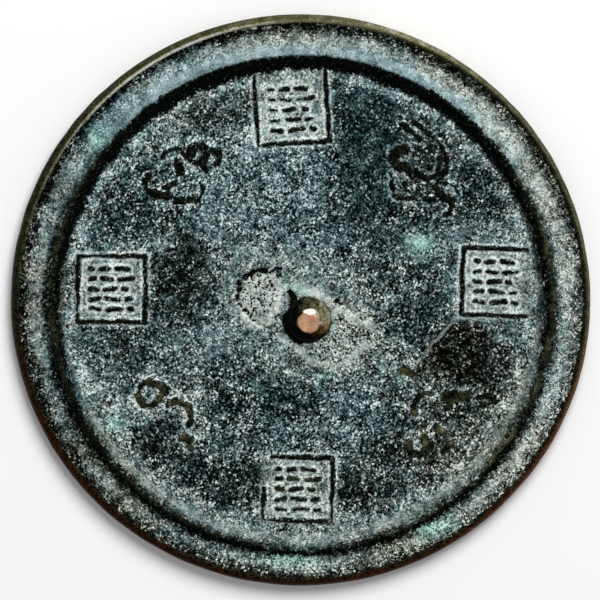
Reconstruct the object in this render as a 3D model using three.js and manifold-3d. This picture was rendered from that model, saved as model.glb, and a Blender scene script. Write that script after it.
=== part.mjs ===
// Cast bronze mirror, one piece: a round plate with a lipped rim, a ridge ring, a cord knob and low relief.
// It lies on its polished face. Millimetres, +Z up, origin at the middle of that face, +Y at the head of
// the design.

import * as THREE from 'three';
import { mergeVertices } from 'three/addons/utils/BufferGeometryUtils.js';
import Module from 'manifold-3d';

// Plate and rim, as radii and heights above the polished face
const OUTER_RADIUS = 65;
const EDGE_WEAR = 0.7;
const EDGE_HEIGHT = 3.6;
const LIP_RADIUS = 63.1;
const LIP_HEIGHT = 5.2;
const LIP_WIDTH = 0.6;
const LIP_FALL = 0.15;
const CHANNEL_RADIUS = 58.6;
const CHANNEL_HEIGHT = 3.6;
const RIDGE_RADIUS = 55.6;
const RIDGE_HEIGHT = 5.1;
const FIELD_RADIUS = 52.6;
const FIELD_HEIGHT = 3;
const ROUND_SEGMENTS = 96;
const CURVE_STEPS = 4;

// Cord knob: a blunt dome rubbed flat on top, a little off the plate's centre, pierced for a cord
const KNOB_CENTRE = [1.75, -4.4];
const KNOB_RADIUS = 5.1;
const KNOB_TOP_RADIUS = 2.6;
const KNOB_HEIGHT = 3.6;
const KNOB_SHOULDER = 1.2;
const KNOB_SEGMENTS = 40;
const CORD_HOLE_WIDTH = 3;
const CORD_HOLE_HEIGHT = 2;
const CORD_HOLE_TURN = 130;

// Low relief: how far it stands above the field, how deep it is rooted, and the slope of its sides
const RELIEF_HEIGHT = 0.55;
const RELIEF_ROOT = 0.5;
const RELIEF_SLOPE = 0.2;
const ARC_STEP = 1.5;

// Square frames on the four axes. Each side's number is the share of it that has not worn away.
const FRAME_LINE = 1.05;
const FRAMES = [
  { centre: [-2, 43.4], turn: 3.4, width: 16, height: 15.4, left: 1, right: 1, bottom: 1, top: 0 },
  { centre: [-42.4, 2.6], turn: -0.5, width: 15.2, height: 15, left: 1, right: 1, bottom: 1, top: 1 },
  { centre: [43.8, 4.2], turn: -2.2, width: 15.2, height: 15.2, left: 1, right: 0, bottom: 0.96, top: 1 },
  { centre: [-0.6, -43], turn: -1.2, width: 15.4, height: 14.5, left: 0.5, right: 1, bottom: 1, top: 0.9 },
];

// Rows of plain dashes that fill every frame: each dash is as long as the shortest plus a share of the
// spread, and the share steps on by a fixed fraction from dash to dash, so no two rows line up
const ROWS = 5;
const ROW_WIDTH = 10.6;
const ROW_PITCH = 2.3;
const DASH_LINE = 1;
const DASH_GAP = 0.8;
const DASH_TURN = 7;
const SHORTEST_DASH = 1.5;
const DASH_SPREAD = 2.6;
const DASH_STEP = 0.382;

// Worn bats between the frames, about each bat's own middle.
// An arc is x, y, radius, first angle, last angle, width. A bar is x, y to x, y and width.
const BATS = [
  {
    centre: [-26.6, 29],
    strokes: [
      arc(-1.7, 2.4, 2.9, 155, 20, 0.9),
      bar(1.1, 3.4, 2.7, 2.3, 0.9),
      arc(3.8, 4.3, 1.7, 185, -60, 1.7),
      arc(7.2, 3.4, 1.5, 130, -70, 1.1),
      bar(3.1, 2.4, 5.4, 0.5, 1.6),
      bar(-0.9, 2.7, -0.2, 0, 1.7),
      arc(-5.6, -2.5, 2.5, 130, 255, 1.1),
      bar(-6.5, -4.6, -3.1, -5.2, 1.9),
      bar(-4, -3.4, -1.4, -2.3, 1),
      bar(-1.8, -6.4, 3.6, -6.1, 1.4),
      arc(2.2, -4.1, 2.5, -50, 40, 0.9),
    ],
  },
  {
    centre: [27.4, 30.4],
    strokes: [
      bar(-2, 10, 1.6, 7.6, 1.1),
      arc(-1.8, 1.2, 6.9, 63, -17, 1.15),
      arc(-11.1, -2.2, 13.2, 62, 38, 1.1),
      arc(-4.5, 1.8, 2, 75, 290, 2),
      bar(-4, -0.6, -2.4, -1.9, 1.6),
      arc(1.4, 0.6, 3.2, 205, 320, 1),
      bar(-7.2, -1.6, -6.3, -6.4, 1.1),
      bar(-6.5, -6.4, -2.2, -7.5, 1.1),
      bar(5, -1.2, 2.5, -4.4, 0.9),
      bar(2.5, -4.4, 4.2, -6.8, 1.2),
      bar(4.2, -6.6, 6.8, -7.5, 1.7),
      arc(4.5, -9.1, 2, 20, -70, 1.1),
      arc(5, -6.6, 2.7, 95, 0, 0.9),
      bar(0.9, -7.4, 2.2, -7.5, 1.6),
    ],
  },
  {
    centre: [-30.5, -26.3],
    strokes: [
      arc(-3.4, 5, 2.5, -50, -260, 1.1),
      bar(-3.6, 7.2, -0.3, 6.4, 1.4),
      bar(0.1, 5.9, -1.2, 3.9, 1.5),
      arc(2.6, 0.1, 3.3, 128, -40, 1.2),
      bar(3.9, -4.8, 5.6, -5.4, 1.5),
      bar(5.6, -5.4, 5.8, -7.6, 1.2),
    ],
  },
  {
    centre: [33, -28.1],
    strokes: [
      arc(-3.8, 3.2, 3.8, 195, 85, 1),
      bar(-0.3, 6.4, 4.5, 6.8, 1.5),
      bar(0.6, 6, 0, 4.2, 1.3),
      bar(8.2, 6, 10.2, 6.6, 1.2),
      arc(-6.8, -4.8, 2.3, 200, 345, 1.5),
      bar(-4.6, -5.2, -5.6, -3.4, 1.2),
      bar(-2.6, -0.7, -1.4, -1.8, 1),
    ],
  },
];

// Low swelling beside the knob, an oval leaning to the right
const SWELLING = { centre: [-8.9, 0.2], across: 9.6, along: 13.6, turn: -12, height: 0.3 };

// Chips knocked out of the ridge: the angle round the plate, the radius and the size
const CHIPS = [
  { angle: -57.3, radius: 54.3, size: 1.7 },
  { angle: -16.5, radius: 56.1, size: 1.1 },
];
const CHIP_LENGTH = 1.6;

const wasm = await Module();
wasm.setup();

// A curved stroke as the outline of a band, walked out along its outer edge and back along its inner one
function arc(x, y, radius, from, to, width) {
  const first = THREE.MathUtils.degToRad(from);
  const last = THREE.MathUtils.degToRad(to);
  const shape = new THREE.Shape();
  shape.absarc(x, y, radius + width / 2, first, last, last < first);
  shape.absarc(x, y, radius - width / 2, last, first, last > first);
  return { shape, steps: Math.ceil((Math.abs(last - first) * radius) / ARC_STEP) + 1 };
}

// A straight stroke as a rectangle about the line between its two ends
function bar(startX, startY, endX, endY, width) {
  const side = new THREE.Vector2(startY - endY, endX - startX).setLength(width / 2);
  const shape = new THREE.Shape([
    new THREE.Vector2(startX - side.x, startY - side.y),
    new THREE.Vector2(endX - side.x, endY - side.y),
    new THREE.Vector2(endX + side.x, endY + side.y),
    new THREE.Vector2(startX + side.x, startY + side.y),
  ]);
  return { shape, steps: 1 };
}

// The solid of a closed geometry: shared vertices merged, and triangles of no area left out
function solidOf(geometry) {
  geometry.deleteAttribute('normal');
  geometry.deleteAttribute('uv');
  const merged = mergeVertices(geometry, 1e-4);
  const corners = merged.index.array;
  const triangles = [];
  for (let first = 0; first < corners.length; first += 3) {
    const [a, b, c] = corners.slice(first, first + 3);
    if (a !== b && b !== c && c !== a) {
      triangles.push(a, b, c);
    }
  }
  return new wasm.Manifold(new wasm.Mesh({
    numProp: 3,
    vertProperties: new Float32Array(merged.attributes.position.array),
    triVerts: new Uint32Array(triangles),
  }));
}

// A profile of radius and height turned about the Z axis
function turned(profile, segments) {
  return new THREE.LatheGeometry(profile.getPoints(CURVE_STEPS), segments).rotateX(Math.PI / 2);
}

// A raised area: its outline carried up from a root inside the plate, with the top edges sloped in
function raised(outline, height, centre, turn) {
  const slope = Math.min(RELIEF_SLOPE, height / 2);
  const geometry = new THREE.ExtrudeGeometry(outline.shape, {
    depth: RELIEF_ROOT + height - 2 * slope,
    curveSegments: outline.steps,
    bevelThickness: slope,
    bevelSize: slope,
    bevelOffset: -slope,
    bevelSegments: 1,
  });
  geometry.translate(0, 0, slope - RELIEF_ROOT);
  geometry.rotateZ(THREE.MathUtils.degToRad(turn));
  geometry.translate(centre[0], centre[1], FIELD_HEIGHT);
  return solidOf(geometry);
}

// The plate: flat below, worn at its edge, an upright side and a bevel up to the narrow lip, then the
// channel, the ridge and the flat field
function plate() {
  const profile = new THREE.Path();
  profile.moveTo(0, 0);
  profile.lineTo(OUTER_RADIUS - EDGE_WEAR, 0);
  profile.lineTo(OUTER_RADIUS, EDGE_WEAR);
  profile.lineTo(OUTER_RADIUS, EDGE_HEIGHT);
  profile.lineTo(LIP_RADIUS + LIP_WIDTH, LIP_HEIGHT - LIP_FALL);
  profile.lineTo(LIP_RADIUS, LIP_HEIGHT);
  const lipRun = LIP_RADIUS - CHANNEL_RADIUS;
  const lipRise = LIP_HEIGHT - CHANNEL_HEIGHT;
  profile.bezierCurveTo(
    LIP_RADIUS - lipRun / 8, LIP_HEIGHT - lipRise * 0.4, CHANNEL_RADIUS + lipRun / 2, CHANNEL_HEIGHT,
    CHANNEL_RADIUS, CHANNEL_HEIGHT,
  );
  const ridgeRise = (CHANNEL_RADIUS - RIDGE_RADIUS) / 2;
  profile.bezierCurveTo(
    CHANNEL_RADIUS - ridgeRise, CHANNEL_HEIGHT, RIDGE_RADIUS + ridgeRise, RIDGE_HEIGHT,
    RIDGE_RADIUS, RIDGE_HEIGHT,
  );
  const ridgeFall = (RIDGE_RADIUS - FIELD_RADIUS) / 2;
  profile.bezierCurveTo(
    RIDGE_RADIUS - ridgeFall, RIDGE_HEIGHT, FIELD_RADIUS + ridgeFall, FIELD_HEIGHT,
    FIELD_RADIUS, FIELD_HEIGHT,
  );
  profile.lineTo(0, FIELD_HEIGHT);
  return solidOf(turned(profile, ROUND_SEGMENTS));
}

// The knob: a dome standing in the plate, rubbed flat on top, with the arched cord hole through its foot
function knob() {
  const foot = FIELD_HEIGHT - 2 * RELIEF_ROOT;
  const top = FIELD_HEIGHT + KNOB_HEIGHT;
  const profile = new THREE.Path();
  profile.moveTo(0, foot);
  profile.lineTo(KNOB_RADIUS, foot);
  profile.lineTo(KNOB_RADIUS, FIELD_HEIGHT);
  profile.bezierCurveTo(
    KNOB_RADIUS, FIELD_HEIGHT + KNOB_HEIGHT / 2, KNOB_TOP_RADIUS + KNOB_SHOULDER, top - KNOB_SHOULDER / 2,
    KNOB_TOP_RADIUS, top,
  );
  profile.lineTo(0, top);
  const dome = turned(profile, KNOB_SEGMENTS).translate(KNOB_CENTRE[0], KNOB_CENTRE[1], 0);
  return solidOf(dome).subtract(cordHole());
}

// The cord hole's core: an upright-sided arch, drawn across and carried level through the knob
function cordHole() {
  const half = CORD_HOLE_WIDTH / 2;
  const length = 4 * KNOB_RADIUS;
  const arch = new THREE.Shape();
  arch.moveTo(half, -RELIEF_ROOT);
  arch.lineTo(half, CORD_HOLE_HEIGHT - half);
  arch.absarc(0, CORD_HOLE_HEIGHT - half, half, 0, Math.PI, false);
  arch.lineTo(-half, -RELIEF_ROOT);
  const core = new THREE.ExtrudeGeometry(arch, { depth: length, bevelEnabled: false, curveSegments: 8 });
  core.translate(0, 0, -length / 2);
  core.rotateX(Math.PI / 2);
  core.rotateZ(THREE.MathUtils.degToRad(CORD_HOLE_TURN - 90));
  core.translate(KNOB_CENTRE[0], KNOB_CENTRE[1], FIELD_HEIGHT);
  return solidOf(core);
}

// A frame's surviving sides: the upright ones kept from the foot up, the level ones from left or right
function frameSides({ width, height, left, right, bottom, top }) {
  const x = width / 2;
  const y = height / 2;
  const over = FRAME_LINE / 2;
  const sides = [];
  if (left) sides.push(bar(-x, -y - over, -x, -y + height * left + over, FRAME_LINE));
  if (right) sides.push(bar(x, -y - over, x, -y + height * right + over, FRAME_LINE));
  if (bottom) sides.push(bar(-x, -y, -x + width * bottom, -y, FRAME_LINE));
  if (top) sides.push(bar(x - width * top, y, x, y, FRAME_LINE));
  return sides;
}

// Rows of dashes from left to right, tilted by turns one way and the other, the last one cut to fit
function dashRows() {
  const dashes = [];
  let count = 0;
  for (let row = 0; row < ROWS; row += 1) {
    const y = ((ROWS - 1) / 2 - row) * ROW_PITCH;
    let left = -ROW_WIDTH / 2;
    while (left < ROW_WIDTH / 2 - DASH_LINE) {
      const share = (count * DASH_STEP) % 1;
      const length = Math.min(SHORTEST_DASH + share * DASH_SPREAD, ROW_WIDTH / 2 - left);
      const tilt = THREE.MathUtils.degToRad(count % 2 ? DASH_TURN : -DASH_TURN);
      const reach = new THREE.Vector2(Math.cos(tilt), Math.sin(tilt)).multiplyScalar(length / 2);
      const x = left + length / 2;
      dashes.push(bar(x - reach.x, y - reach.y, x + reach.x, y + reach.y, DASH_LINE));
      left += length + DASH_GAP;
      count += 1;
    }
  }
  return dashes;
}

// The oval swelling beside the knob
function swelling() {
  const shape = new THREE.Shape();
  shape.absellipse(0, 0, SWELLING.across / 2, SWELLING.along / 2, 0, 2 * Math.PI, false, 0);
  return raised({ shape, steps: 24 }, SWELLING.height, SWELLING.centre, SWELLING.turn);
}

// A chip: a rounded bite out of the ridge, longer round the plate than across it
function chip({ angle, radius, size }) {
  const bite = new THREE.IcosahedronGeometry(size, 1);
  bite.scale(1, CHIP_LENGTH, 1);
  bite.translate(radius, 0, RIDGE_HEIGHT + size / 3);
  bite.rotateZ(THREE.MathUtils.degToRad(angle));
  return solidOf(bite);
}

// The whole casting as one solid
function casting() {
  let solid = plate().add(knob()).add(swelling());
  for (const frame of FRAMES) {
    for (const stroke of [...frameSides(frame), ...dashRows()]) {
      solid = solid.add(raised(stroke, RELIEF_HEIGHT, frame.centre, frame.turn));
    }
  }
  for (const bat of BATS) {
    for (const stroke of bat.strokes) {
      solid = solid.add(raised(stroke, RELIEF_HEIGHT, bat.centre, 0));
    }
  }
  for (const bite of CHIPS) {
    solid = solid.subtract(chip(bite));
  }
  return solid;
}

const { vertProperties, triVerts } = casting().getMesh();
const geometry = new THREE.BufferGeometry();
geometry.setAttribute('position', new THREE.BufferAttribute(vertProperties, 3));
geometry.setIndex(new THREE.BufferAttribute(triVerts, 1));
geometry.computeVertexNormals();

const patinatedBronze = new THREE.MeshStandardMaterial({ color: 0x5a6764, roughness: 0.62, metalness: 0.5 });
const mirror = new THREE.Mesh(geometry, patinatedBronze);
mirror.name = 'bronze_mirror';

const model = new THREE.Group();
model.add(mirror);

export default model;
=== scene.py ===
"""An old bronze mirror lying on its polished face: the cast relief side with its knob, patina and wear."""

import math

import bpy
import numpy as np
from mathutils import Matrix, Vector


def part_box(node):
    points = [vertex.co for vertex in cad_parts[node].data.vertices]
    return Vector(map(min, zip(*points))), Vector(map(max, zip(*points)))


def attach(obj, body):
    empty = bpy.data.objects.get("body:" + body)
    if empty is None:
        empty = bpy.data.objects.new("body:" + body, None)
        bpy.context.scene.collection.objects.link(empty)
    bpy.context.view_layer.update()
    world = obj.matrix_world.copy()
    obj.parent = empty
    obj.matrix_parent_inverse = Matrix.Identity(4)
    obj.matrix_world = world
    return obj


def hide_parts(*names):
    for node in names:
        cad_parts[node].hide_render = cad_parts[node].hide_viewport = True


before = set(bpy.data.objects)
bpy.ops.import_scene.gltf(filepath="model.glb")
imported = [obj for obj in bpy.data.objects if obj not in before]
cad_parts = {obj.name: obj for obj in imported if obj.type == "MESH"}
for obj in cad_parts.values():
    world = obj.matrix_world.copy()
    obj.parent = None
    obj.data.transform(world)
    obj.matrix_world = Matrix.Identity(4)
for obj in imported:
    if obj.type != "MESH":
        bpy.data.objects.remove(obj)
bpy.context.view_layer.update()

# ---------------------------------------------------------------------------------------------------
# Camera: looks down on the relief side, leaning a little towards the head of the design.

LEAN = math.radians(9.7)
CAMERA_DISTANCE = 4.0
HALF_VIEW = 0.0673
SENSOR = 36.0
SIDEWAYS, UPWARDS = -0.0012, -0.0033

camera_data = bpy.data.cameras.new("camera")
camera_data.sensor_width = SENSOR
camera_data.lens = SENSOR / 2 * CAMERA_DISTANCE / HALF_VIEW
camera_data.shift_x = SIDEWAYS
camera_data.shift_y = UPWARDS
camera = bpy.data.objects.new("camera", camera_data)
bpy.context.scene.collection.objects.link(camera)
camera.location = (0.0, CAMERA_DISTANCE * math.sin(LEAN), CAMERA_DISTANCE * math.cos(LEAN))
camera.rotation_euler = (-LEAN, 0.0, 0.0)
bpy.context.scene.camera = camera

# ---------------------------------------------------------------------------------------------------
# The casting. One pour of high-tin bronze in a mould: a plate with a lipped rim, a rounded ridge ring,
# a flat field with low relief, and a knob that was pierced for a cord and has rubbed flat on top.

MM = 0.001
low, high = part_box("bronze_mirror")
disc_radius = (high.x - low.x) / 2 / MM
knob_top = (high.z - low.z) / MM

# Millimetres from here on. Radii of the ridge's foot and crest, the channel's bottom and the lip's top,
# then heights, how far the lip's ring sits off the plate's middle, the edge's worn bevel, and the knob
RIDGE_FOOT, RIDGE_CREST, CHANNEL, LIP = 52.6, 55.6, 58.6, 63.4
FIELD, RIDGE_TOP, CHANNEL_FLOOR, LIP_TOP = 3.0, 5.1, 3.6, 5.2
LIP_SHIFT = (0.3, 0.25)
EDGE_WEAR, EDGE_TOP = 0.7, 3.6
KNOB_AT = (1.75, -4.4)
KNOB_RADIUS, KNOB_FLAT, KNOB_SHOULDER = 5.1, 2.6, 1.2

# The relief: its height, the width of a frame's line, how much the bats' lines have spread, and how far the
# edges of both wander
RELIEF, LINE, BAT_SPREAD, EDGE_WANDER = 0.55, 1.15, 0.12, 0.16


def lattice_noise(x, y, cell, seed):
    """Smooth random hills from -1 to 1: one random height at each corner of a square lattice of that
    cell, blended across the cell by the curve 3t^2 - 2t^3 in both directions."""
    heights = np.random.default_rng(seed).uniform(-1, 1, (256, 256))
    across, up = x / cell + 101.3, y / cell + 57.7
    column, row = np.floor(across).astype(int), np.floor(up).astype(int)
    s, t = across - column, up - row
    s, t = s * s * (3 - 2 * s), t * t * (3 - 2 * t)
    row, above, column, beside = row % 256, (row + 1) % 256, column % 256, (column + 1) % 256
    near = heights[row, column] * (1 - s) + heights[row, beside] * s
    far = heights[above, column] * (1 - s) + heights[above, beside] * s
    return near * (1 - t) + far * t


def rough(x, y, cell, octaves, seed):
    """Lattice noise summed over octaves, each half the cell and half the height of the one before."""
    return sum(lattice_noise(x, y, cell / 2 ** n, seed + n) / 2 ** n for n in range(octaves))


def ramp(value, start, end):
    """0 below start, 1 above end (or the other way round), and the curve 3t^2 - 2t^3 between."""
    t = np.clip((value - start) / (end - start), 0, 1)
    return t * t * (3 - 2 * t)


def to_bar(x, y, x0, y0, x1, y1, width):
    """Distance outside a straight stroke: that to the segment from x0, y0 to x1, y1, less half its width."""
    along, up = x1 - x0, y1 - y0
    share = np.clip(((x - x0) * along + (y - y0) * up) / (along ** 2 + up ** 2), 0, 1)
    return np.hypot(x - x0 - share * along, y - y0 - share * up) - width / 2


def to_arc(x, y, cx, cy, radius, start, end, width):
    """Distance outside a curved stroke: that to the arc about cx, cy between two angles, less half its
    width. Beyond the arc's ends it is the distance to the nearer end."""
    turn = (np.degrees(np.arctan2(y - cy, x - cx)) - (start + end) / 2 + 180) % 360 - 180
    beyond = np.clip(np.abs(turn) - abs(end - start) / 2, 0, None)
    reach = np.hypot(x - cx, y - cy)
    to_end = np.sqrt(reach ** 2 + radius ** 2 - 2 * reach * radius * np.cos(np.radians(beyond)))
    return np.where(beyond > 0, to_end, np.abs(reach - radius)) - width / 2


# Frames: centre, turn, width, height, then the share left of the left, right, bottom and top sides
FRAMES = [
    (-2.0, 43.4, 3.4, 16.0, 15.4, 1, 1, 1, 0),
    (-42.4, 2.6, -0.5, 15.2, 15.0, 1, 1, 1, 1),
    (43.8, 4.2, -2.2, 15.2, 15.2, 1, 0, 0.96, 1),
    (-0.6, -43.0, -1.2, 15.4, 14.5, 0.5, 1, 1, 0.9),
]
ROWS, ROW_WIDTH, ROW_PITCH = 5, 10.6, 2.3
DASH_LINE, DASH_GAP, DASH_TURN = 1.15, 0.7, 7
SHORTEST_DASH, DASH_SPREAD, DASH_STEP = 1.7, 2.6, 0.382

# Bats: centre, then arcs as centre, radius, two angles and width, then bars as two ends and width
BATS = [
    (-26.6, 29.0,
     [(-1.7, 2.4, 2.9, 155, 20, 0.9), (3.8, 4.3, 1.6, 185, -60, 2.1), (7.0, 3.4, 1.5, 130, -70, 1.5),
      (-5.6, -2.5, 2.5, 130, 255, 1.1), (2.2, -4.1, 2.5, -50, 40, 0.9)],
     [(1.1, 3.4, 2.7, 2.3, 0.9), (3.1, 2.4, 5.4, 0.5, 1.6), (-0.9, 2.7, -0.2, 0, 1.7),
      (-6.5, -4.6, -3.1, -5.2, 1.9), (-4, -3.4, -1.4, -2.3, 1), (-1.8, -6.4, 3.6, -6.1, 1.4)]),
    (27.4, 30.4,
     [(-1.8, 1.2, 6.9, 63, -17, 1.15), (-11.1, -2.2, 13.2, 62, 38, 1.1), (-4.5, 1.8, 2, 75, 290, 2.2),
      (-1.8, 1.2, 5.6, 40, -40, 0.7), (1.4, 0.6, 3.2, 205, 320, 1), (4.5, -9.1, 2, 20, -70, 1.1),
      (5, -6.6, 2.7, 95, 0, 0.9)],
     [(-2, 10, 1.6, 7.6, 1.1), (-4, -0.6, -2.4, -1.9, 1.6), (-7.2, -1.6, -6.3, -6.4, 1.1),
      (-6.5, -6.4, -2.2, -7.5, 1.1), (5, -1.2, 2.5, -4.4, 0.9), (2.5, -4.4, 4.2, -6.8, 1.6),
      (4.2, -6.6, 6.8, -7.5, 1.7), (0.9, -7.4, 2.2, -7.5, 1.6)]),
    (-30.5, -26.3,
     [(-3.6, 4.6, 2.2, -50, -170, 1.7), (-3.1, 5.2, 2.7, -170, -270, 1.2), (2.6, 0.1, 3.3, 128, -40, 1.3)],
     [(-3.6, 7.3, -0.3, 6.6, 1.7), (0.1, 6.1, -1.2, 3.7, 1.9), (3.9, -4.8, 5.6, -5.4, 1.6),
      (5.6, -5.4, 5.8, -7.6, 1.2)]),
    (33.0, -28.1,
     [(-3.8, 3.2, 3.8, 195, 85, 1.2), (-6.6, -4.6, 2.3, 185, 372, 2.0), (8.4, 3.2, 3.2, 120, 40, 1.1)],
     [(-0.3, 6.2, 4.5, 6.6, 2.3), (0.6, 6, 0, 3.8, 1.6), (-4.4, -5.0, -5.2, -3.0, 1.6),
      (-2.8, -0.5, -1.2, -2.0, 1.4), (1.2, -4.2, -1.0, -6.4, 0.9)]),
]


def dash_rows():
    """Rows of plain dashes, from left to right: each is the shortest length plus a share of the spread, that
    share steps on by a fixed fraction from dash to dash, and the last one in a row is cut to fit."""
    strokes, count = [], 0
    for row in range(ROWS):
        level, left = ((ROWS - 1) / 2 - row) * ROW_PITCH, -ROW_WIDTH / 2
        while left < ROW_WIDTH / 2 - DASH_LINE:
            length = min(SHORTEST_DASH + count * DASH_STEP % 1 * DASH_SPREAD, ROW_WIDTH / 2 - left)
            middle, half = left + length / 2, (length - DASH_LINE) / 2 + 0.05
            tilt = math.radians(DASH_TURN if count % 2 else -DASH_TURN)
            along, up = math.cos(tilt) * half, math.sin(tilt) * half
            strokes.append((middle - along, level - up, middle + along, level + up, DASH_LINE))
            left += length + DASH_GAP
            count += 1
    return strokes


def frame_strokes(width, height, left, right, bottom, top):
    """The surviving sides of one square frame and the dashes in it, about the frame's middle."""
    x, y = width / 2, height / 2
    strokes = dash_rows()
    if left:
        strokes.append((-x, -y, -x, -y + height * left, LINE))
    if right:
        strokes.append((x, -y, x, -y + height * right, LINE))
    if bottom:
        strokes.append((-x, -y, -x + width * bottom, -y, LINE))
    if top:
        strokes.append((x - width * top, y, x, y, LINE))
    return strokes


def to_relief(x, y):
    """Distance outside the nearest cast stroke, negative inside it, with its edges wandering by noise."""
    x, y = x + EDGE_WANDER * rough(x, y, 2.2, 2, 11), y + EDGE_WANDER * rough(x, y, 2.2, 2, 31)
    nearest = np.full_like(x, 9.0)
    for cx, cy, turn, *sizes in FRAMES:
        c, s = math.cos(math.radians(turn)), math.sin(math.radians(turn))
        across, up = (x - cx) * c + (y - cy) * s, (y - cy) * c - (x - cx) * s
        for stroke in frame_strokes(*sizes):
            nearest = np.minimum(nearest, to_bar(across, up, *stroke))
    for cx, cy, arcs, bars in BATS:
        spread = BAT_SPREAD + 0.3 * rough(x, y, 1.6, 3, 47)
        for stroke in arcs:
            nearest = np.minimum(nearest, to_arc(x - cx, y - cy, *stroke) - spread)
        for stroke in bars:
            nearest = np.minimum(nearest, to_bar(x - cx, y - cy, *stroke) - spread)
    return nearest


def curve(start, pull_start, pull_end, end, steps):
    """Points on the cubic Bezier curve between two ends, without its first point."""
    t = np.linspace(0, 1, steps + 1)[1:, None]
    parts = [(1 - t) ** 3, 3 * t * (1 - t) ** 2, 3 * t ** 2 * (1 - t), t ** 3]
    return sum(part * np.array(point) for part, point in zip(parts, (start, pull_start, pull_end, end)))


# Profile of the field side out to the ridge's foot, one radius and height for each ring of the grid
flat_rings = np.column_stack([np.linspace(0, KNOB_FLAT - 0.1, 8), np.full(8, knob_top)])
knob_side = curve((KNOB_FLAT, knob_top), (KNOB_FLAT + KNOB_SHOULDER, knob_top - KNOB_SHOULDER / 2),
                  (KNOB_RADIUS, FIELD + (knob_top - FIELD) / 2), (KNOB_RADIUS, FIELD), 20)
MID_FIELD = 28
inner_field = np.linspace(KNOB_RADIUS, MID_FIELD, 42)[1:]
outer_field = np.linspace(MID_FIELD, RIDGE_FOOT - 0.4, 60)[1:]
field_radii = np.concatenate([inner_field, outer_field])
field_rings = np.column_stack([field_radii, np.full(field_radii.size, FIELD)])
inner_profile = np.vstack([flat_rings, knob_side, field_rings])
RINGS = len(inner_profile) - 1

# Profile from there over the ridge, the channel, the lip and the edge, and in along the polished face
ridge_run, channel_run, lip_run = (RIDGE_CREST - RIDGE_FOOT) / 2, (CHANNEL - RIDGE_CREST) / 2, LIP - CHANNEL
outer_profile = np.vstack([
    [(RIDGE_FOOT, FIELD)],
    curve((RIDGE_FOOT, FIELD), (RIDGE_FOOT + ridge_run, FIELD),
          (RIDGE_CREST - ridge_run, RIDGE_TOP), (RIDGE_CREST, RIDGE_TOP), 7),
    curve((RIDGE_CREST, RIDGE_TOP), (RIDGE_CREST + channel_run, RIDGE_TOP),
          (CHANNEL - channel_run, CHANNEL_FLOOR), (CHANNEL, CHANNEL_FLOOR), 6),
    curve((CHANNEL, CHANNEL_FLOOR), (CHANNEL + lip_run / 2, CHANNEL_FLOOR),
          (LIP - lip_run / 8, LIP_TOP - (LIP_TOP - CHANNEL_FLOOR) * 0.4), (LIP, LIP_TOP), 8),
    curve((LIP, LIP_TOP), (LIP + 0.4, LIP_TOP), (LIP + 0.8, LIP_TOP - 0.3), (LIP + 1.0, LIP_TOP - 0.5), 4),
    [(disc_radius - 0.12, EDGE_TOP + 0.12), (disc_radius, EDGE_TOP - 0.1), (disc_radius - 0.4, EDGE_WEAR),
     (disc_radius - 0.55, 0.22), (disc_radius - EDGE_WEAR - 0.2, 0), (45, 0), (15, 0)],
])


def bronze_form():
    """The whole skin as one closed surface. Inside the ridge it is a square grid laid on the disc: ring n
    of the grid, n steps out from the middle, becomes a circle of 8n points at the profile's radius. The
    rings' centre moves from the knob to the plate's middle. Outside, rings of equal count follow the outer
    profile, and a last point closes the polished face."""
    step = np.arange(-RINGS, RINGS + 1)
    i, j = [a.ravel() for a in np.meshgrid(step, step)]
    ring = np.maximum(np.abs(i), np.abs(j))
    wide = np.abs(i) >= np.abs(j)
    ratio = np.where(wide, j, -i) / np.where(ring == 0, 1, np.where(wide, i, j))
    quarter = np.where(wide, np.where(i < 0, math.pi, 0), np.where(j < 0, 1.5, 0.5) * math.pi)
    angle = math.pi / 4 * ratio + quarter
    radius, height = inner_profile[ring].T

    edge = np.flatnonzero(ring == RINGS)
    edge = edge[np.argsort(angle[edge] % (2 * math.pi) + 0.0)]
    count = 8 * RINGS
    outer_angle = np.tile(np.arange(count) * 2 * math.pi / count, len(outer_profile))
    outer_radius, outer_height = np.repeat(outer_profile, count, axis=0).T

    radius = np.concatenate([radius, outer_radius, [0.0]])
    height = np.concatenate([height, outer_height, [0.0]])
    angle = np.concatenate([angle, outer_angle, [0.0]])
    outer_beneath = np.repeat(outer_profile[:, 1] <= 0, count)
    beneath = np.concatenate([np.zeros(i.size, bool), outer_beneath, [True]])

    off_centre = ramp(radius, 46, 8) * ~beneath
    x = KNOB_AT[0] * off_centre + radius * np.cos(angle)
    y = KNOB_AT[1] * off_centre + radius * np.sin(angle)

    corner = np.arange((2 * RINGS + 1) * 2 * RINGS).reshape(2 * RINGS, 2 * RINGS + 1)[:, :-1].ravel()
    grid = np.column_stack([corner, corner + 1, corner + 2 * RINGS + 2, corner + 2 * RINGS + 1])
    hoops = np.vstack([edge, i.size + np.arange(len(outer_profile) * count).reshape(-1, count)])
    following = np.roll(hoops, -1, axis=1)
    bands = np.stack([hoops[:-1], hoops[1:], following[1:], following[:-1]], axis=-1).reshape(-1, 4)
    last = np.full(count, x.size - 1)
    close = np.column_stack([hoops[-1], last, following[-1]])
    on_lip = ramp(radius, 60, 62.5) * ramp(radius, 64.6, 63.7) * (height > EDGE_TOP - 0.2)
    x, y = x + LIP_SHIFT[0] * on_lip, y + LIP_SHIFT[1] * on_lip
    return x, y, height, np.vstack([grid, bands]), close


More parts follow.
